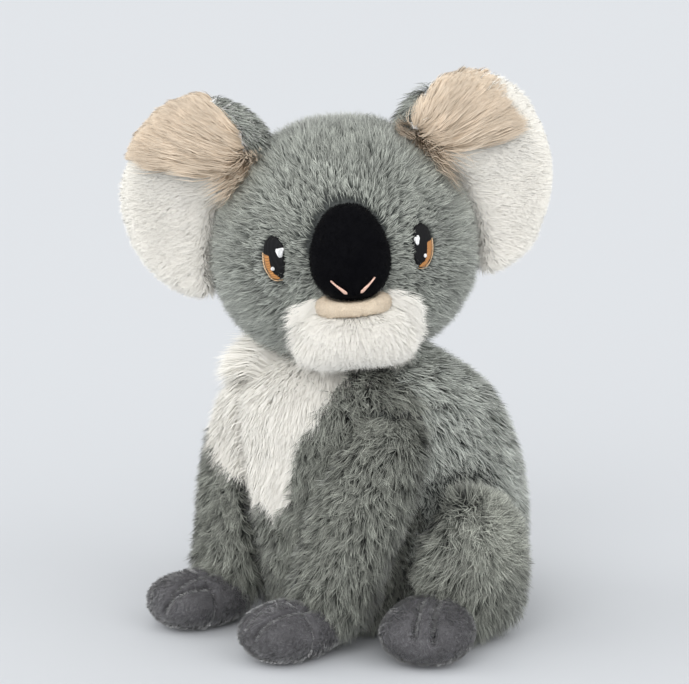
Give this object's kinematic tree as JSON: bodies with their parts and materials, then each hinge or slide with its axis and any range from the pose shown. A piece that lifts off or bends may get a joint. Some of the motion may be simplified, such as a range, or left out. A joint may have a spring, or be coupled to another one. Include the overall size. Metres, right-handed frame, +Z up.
{
  "type": "plush koala",
  "caption": "Seated stuffed koala in grey plush with a white bib, furry ears and dark velour paws, its head turned to one side.",
  "frame": {"origin": "on the surface it sits on, under the middle of the chest", "axes": "+Z up, the chest faces -Y, the koala's own left side is +X"},
  "size_m": [0.1782, 0.1686, 0.2383],
  "materials": {
    "grey_plush": "matte",
    "fibre_fill": "matte",
    "white_plush": "matte",
    "beige_plush": "matte",
    "black_thread": "satin",
    "white_thread": "satin",
    "amber_thread": "satin",
    "cream_thread": "satin",
    "grey_thread": "satin",
    "grey_velour": "matte",
    "beige_velour": "matte",
    "black_velour": "matte",
    "peach_thread": "satin",
    "pellet_cloth": "matte"
  },
  "bodies": {
    "torso": {"base_panel": "grey_plush", "chest_bib": "white_plush", "pellet_bag": "pellet_cloth", "torso_skin": "grey_plush", "torso_stuffing": "fibre_fill"},
    "neck": {"neck_stuffing": "fibre_fill"},
    "head": {"eye_black_left": "black_thread", "eye_black_right": "black_thread", "eye_glint_left": "white_thread", "eye_glint_right": "white_thread", "eye_highlight_left": "white_thread", "eye_highlight_right": "white_thread", "eye_iris_left": "amber_thread", "eye_iris_right": "amber_thread", "eye_rim_left": "cream_thread", "eye_rim_right": "cream_thread", "head_skin": "grey_plush", "head_stuffing": "fibre_fill", "mouth_band": "beige_velour", "muzzle_skin": "white_plush", "muzzle_stuffing": "fibre_fill", "nose_cover": "black_velour", "nose_stuffing": "fibre_fill", "nostril_stitch_left": "peach_thread", "nostril_stitch_right": "peach_thread"},
    "ear_left": {"ear_back_left": "grey_plush", "ear_lining_left": "white_plush", "ear_tuft_left": "beige_plush"},
    "ear_right": {"ear_back_right": "grey_plush", "ear_lining_right": "white_plush", "ear_tuft_right": "beige_plush"},
    "arm_left": {"arm_skin_left": "grey_plush", "arm_stuffing_left": "fibre_fill", "hand_seam_left_1": "grey_thread", "hand_seam_left_2": "grey_thread", "hand_skin_left": "grey_velour", "hand_stuffing_left": "fibre_fill"},
    "arm_right": {"arm_skin_right": "grey_plush", "arm_stuffing_right": "fibre_fill", "hand_seam_right_1": "grey_thread", "hand_seam_right_2": "grey_thread", "hand_skin_right": "grey_velour", "hand_stuffing_right": "fibre_fill"},
    "leg_left": {"foot_seam_left_1": "grey_thread", "foot_seam_left_2": "grey_thread", "foot_skin_left": "grey_velour", "foot_stuffing_left": "fibre_fill", "leg_skin_left": "grey_plush", "leg_stuffing_left": "fibre_fill"},
    "leg_right": {"foot_seam_right_1": "grey_thread", "foot_seam_right_2": "grey_thread", "foot_skin_right": "grey_velour", "foot_stuffing_right": "fibre_fill", "leg_skin_right": "grey_plush", "leg_stuffing_right": "fibre_fill"}
  },
  "joints": [
    {"name": "neck_turn", "type": "hinge", "parent": "torso", "child": "neck", "pos_m": [0, 0.008, 0.081], "axis": [0, 0, 1], "range_deg": [-25, 25], "stiffness_Nm_per_rad": 0.5},
    {"name": "head_nod", "type": "hinge", "parent": "neck", "child": "head", "pos_m": [0, 0.008, 0.081], "axis": [0.6018, 0.7986, 0], "range_deg": [-6, 6], "stiffness_Nm_per_rad": 1.5},
    {"name": "ear_fold_left", "type": "hinge", "parent": "head", "child": "ear_left", "pos_m": [0.02101, 0.03588, 0.1932], "axis": [-0.0472, -0.0627, 0.9969], "range_deg": [-20, 20], "stiffness_Nm_per_rad": 0.03},
    {"name": "ear_fold_right", "type": "hinge", "parent": "head", "child": "ear_right", "pos_m": [-0.02819, -0.02941, 0.18676], "axis": [-0.0472, -0.0627, 0.9969], "range_deg": [-20, 20], "stiffness_Nm_per_rad": 0.03},
    {"name": "arm_lift_left", "type": "hinge", "parent": "torso", "child": "arm_left", "pos_m": [0.02231, -0.02566, 0.1], "axis": [-0.7547, -0.6561, 0], "range_deg": [0, 35], "stiffness_Nm_per_rad": 0.2},
    {"name": "arm_lift_right", "type": "hinge", "parent": "torso", "child": "arm_right", "pos_m": [-0.02231, -0.02566, 0.1], "axis": [-0.7547, 0.6561, 0], "range_deg": [0, 35], "stiffness_Nm_per_rad": 0.2},
    {"name": "leg_spread_left", "type": "hinge", "parent": "torso", "child": "leg_left", "pos_m": [0.036, 0.024, 0.068], "axis": [0, -1, 0], "range_deg": [0, 25], "stiffness_Nm_per_rad": 0.3},
    {"name": "leg_spread_right", "type": "hinge", "parent": "torso", "child": "leg_right", "pos_m": [-0.036, 0.024, 0.068], "axis": [0, 1, 0], "range_deg": [0, 25], "stiffness_Nm_per_rad": 0.3}
  ]
}
